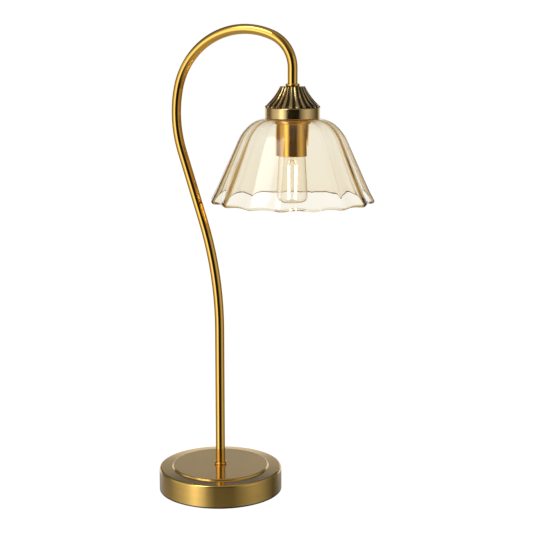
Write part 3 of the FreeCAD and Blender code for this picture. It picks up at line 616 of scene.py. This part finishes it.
def glass(name, look):
    # clear glass: the colour is in its thickness, so ribs and rims come out deeper
    material, tree, surface = newMaterial(name)
    link = tree.links.new
    surface.inputs["Base Color"].default_value = (*look["skin"], 1)
    surface.inputs["Transmission Weight"].default_value = 1.0
    surface.inputs["IOR"].default_value = look["ior"]
    where = place(tree, "ShaderNodeTexCoord")
    ripple = place(tree, "ShaderNodeTexNoise", Scale=look["rippleScale"], Detail=2.0, Roughness=0.5)
    spread = finish["rippleSpread"]
    spans = {"To Min": look["roughness"] * (1 - spread), "To Max": look["roughness"] * (1 + spread)}
    rough = mapRange(tree, ripple.outputs["Fac"], spans)
    bump = place(tree, "ShaderNodeBump", Strength=look["ripple"], Distance=finish["rippleDepth"])
    link(where.outputs["Object"], ripple.inputs["Vector"])
    link(ripple.outputs["Fac"], bump.inputs["Height"])
    link(rough, surface.inputs["Roughness"])
    link(bump.outputs["Normal"], surface.inputs["Normal"])
    if "tint" in look:
        tint = place(tree, "ShaderNodeVolumeAbsorption", Density=look["depth"])
        tint.inputs["Color"].default_value = (*look["tint"], 1)
        link(tint.outputs["Volume"], tree.nodes["Material Output"].inputs["Volume"])
    return material


glassLooks = {
    "amberGlass": {"skin": (1.0, 0.985, 0.95), "ior": 1.48, "roughness": 0.012, "ripple": 0.06,
                   "rippleScale": 60, "depth": 44, "tint": (0.72, 0.60, 0.14)},
    "lampGlass": {"skin": (1.0, 0.985, 0.95), "ior": 1.46, "roughness": 0.01, "ripple": 0.02,
                  "rippleScale": 90},
}
glasses = {name: glass(name, look) for name, look in glassLooks.items()}

shade = {
    "pleats": 16,
    "turn": -11.0,  # degrees from +X to the first rib
    "crownRadius": 0.025,
    "shoulders": [(0.0292, 41.1), (0.0424, 24.4)],  # each bend's radius and angle, from the crown down
    "crownThickness": 0.0020,
    "ribThickness": 0.0036,
    "wallGrowth": 1.5,  # above 1 the wall reaches its full thickness before the rim
    "pleatDepth": 0.0026,
    "pleatGrowth": 0.8,  # under 1 the pleats start sooner
    "innerShare": 1.0,
    "fullness": 0.75,  # under 1 the valleys widen and the ribs sharpen
    "rimWave": 0.0012,
    "waveReach": 0.014,
    "flare": 0.0009,
    "bead": 0.0042,
    "beadSwell": 0.12,
    "beadSteps": 12,
    "hole": 0.0169,
    "crownSteps": 4,
    "around": 512,
    "down": 72,
}


def shadeSection(settings, top, foot):
    # down the outside of a rib: radius, height, slope below level and share of the way down
    arcs = [(size, math.radians(angle)) for size, angle in settings["shoulders"]]
    lower, steepness = top, 0.0
    for size, angle in arcs:
        lower -= size * (math.cos(steepness) - math.cos(steepness + angle))
        steepness += angle
    bends = sum(size * angle for size, angle in arcs)
    length = bends + (lower - foot - settings["bead"] / 2) / math.sin(steepness)
    rows = []
    for step in range(settings["down"] + 1):
        share = step / settings["down"]
        left = length * share
        radius, height, slope = settings["crownRadius"], top, 0.0
        for size, angle in arcs:
            turn = min(angle, left / size)
            radius += size * (math.sin(slope + turn) - math.sin(slope))
            height -= size * (math.cos(slope) - math.cos(slope + turn))
            slope += turn
            left -= size * turn
        rows.append((radius + left * math.cos(slope), height - left * math.sin(slope), slope, share))
    return rows, length


def rimBead(settings, first, last):
    # the rounded edge, from the outside of the rim to its inside
    middle = (first[0] + last[0]) / 2
    half = (first[0] - last[0]) / 2
    bead = []
    for step in range(1, settings["beadSteps"]):
        angle = math.pi * step / settings["beadSteps"]
        mix = (1 + math.cos(angle)) / 2
        swell = 1 + settings["beadSwell"] * math.sin(angle)
        height = first[1] - settings["bead"] / 2 * math.sin(angle) + (last[1] - first[1]) * (1 - mix)
        bead.append((middle + half * math.cos(angle) * swell, height, last[2] + (first[2] - last[2]) * mix,
                     first[3]))
    return bead


def buildShade(settings, top, foot):
    # one closed skin round the wall; each row holds a rib's radius and height, the pleat's depth and its lift
    outer, inner = [], []
    section, length = shadeSection(settings, top, foot)
    for radius, height, slope, share in section:
        depth = settings["pleatDepth"] * share ** settings["pleatGrowth"]
        nearRim = max(0.0, 1 - length * (1 - share) / settings["waveReach"])
        lift = settings["rimWave"] * nearRim ** 2
        wall = settings["crownThickness"]
        wall += (settings["ribThickness"] - wall) * min(1, share * settings["wallGrowth"])
        outer.append((radius + settings["flare"] * nearRim ** 2, height, depth, lift))
        inner.append((radius - wall * math.sin(slope), height - wall * math.cos(slope),
                      depth * settings["innerShare"], lift))
    hole, steps = settings["hole"], settings["crownSteps"]
    crown = [(hole + (outer[0][0] - hole) * step / steps, top, 0, 0) for step in range(steps)]
    under = [(inner[0][0] + (hole - inner[0][0]) * step / steps, inner[0][1], 0, 0)
             for step in range(1, steps + 1)]
    rows = crown + outer + rimBead(settings, outer[-1], inner[-1]) + inner[::-1] + under
    points = []
    for radius, height, depth, lift in rows:
        for step in range(settings["around"]):
            angle = 2 * math.pi * step / settings["around"]
            wave = math.cos(settings["pleats"] * (angle - math.radians(settings["turn"])))
            valley = ((1 - wave) / 2) ** settings["fullness"]
            reach = radius - depth * valley
            points.append((headX + reach * math.cos(angle), reach * math.sin(angle), height + lift * valley))
    piece = addMesh("shadeGlass", points, ringFaces(len(rows), settings["around"]))
    piece.data.materials.append(glasses["amberGlass"])
    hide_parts("shade_glass")
    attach(piece, "shade")


buildShade(shade, glassHigh.z, glassLow.z)
print("shade glass built")


filamentLook = {
    "grain": 900.0,
    "glow": [(1.0, 0.60, 0.22, 1), (1.0, 0.80, 0.48, 1)],
    "strength": 12.0,
    "roughness": 0.5,
}


def dressLamp(look):
    dress(glasses["lampGlass"], "bulb_envelope", "bulb_stem")
    material, tree, surface = newMaterial("litFilament")
    link = tree.links.new
    where = place(tree, "ShaderNodeTexCoord")
    beads = place(tree, "ShaderNodeTexNoise", Scale=look["grain"], Detail=1.0)
    glow = place(tree, "ShaderNodeValToRGB")
    for element, color in zip(glow.color_ramp.elements, look["glow"]):
        element.color = color
    link(where.outputs["Object"], beads.inputs["Vector"])
    link(beads.outputs["Fac"], glow.inputs["Fac"])
    link(glow.outputs["Color"], surface.inputs["Emission Color"])
    link(glow.outputs["Color"], surface.inputs["Base Color"])
    surface.inputs["Emission Strength"].default_value = look["strength"]
    surface.inputs["Roughness"].default_value = look["roughness"]
    dress(material, "bulb_filaments")


dressLamp(filamentLook)
print("lamp dressed")
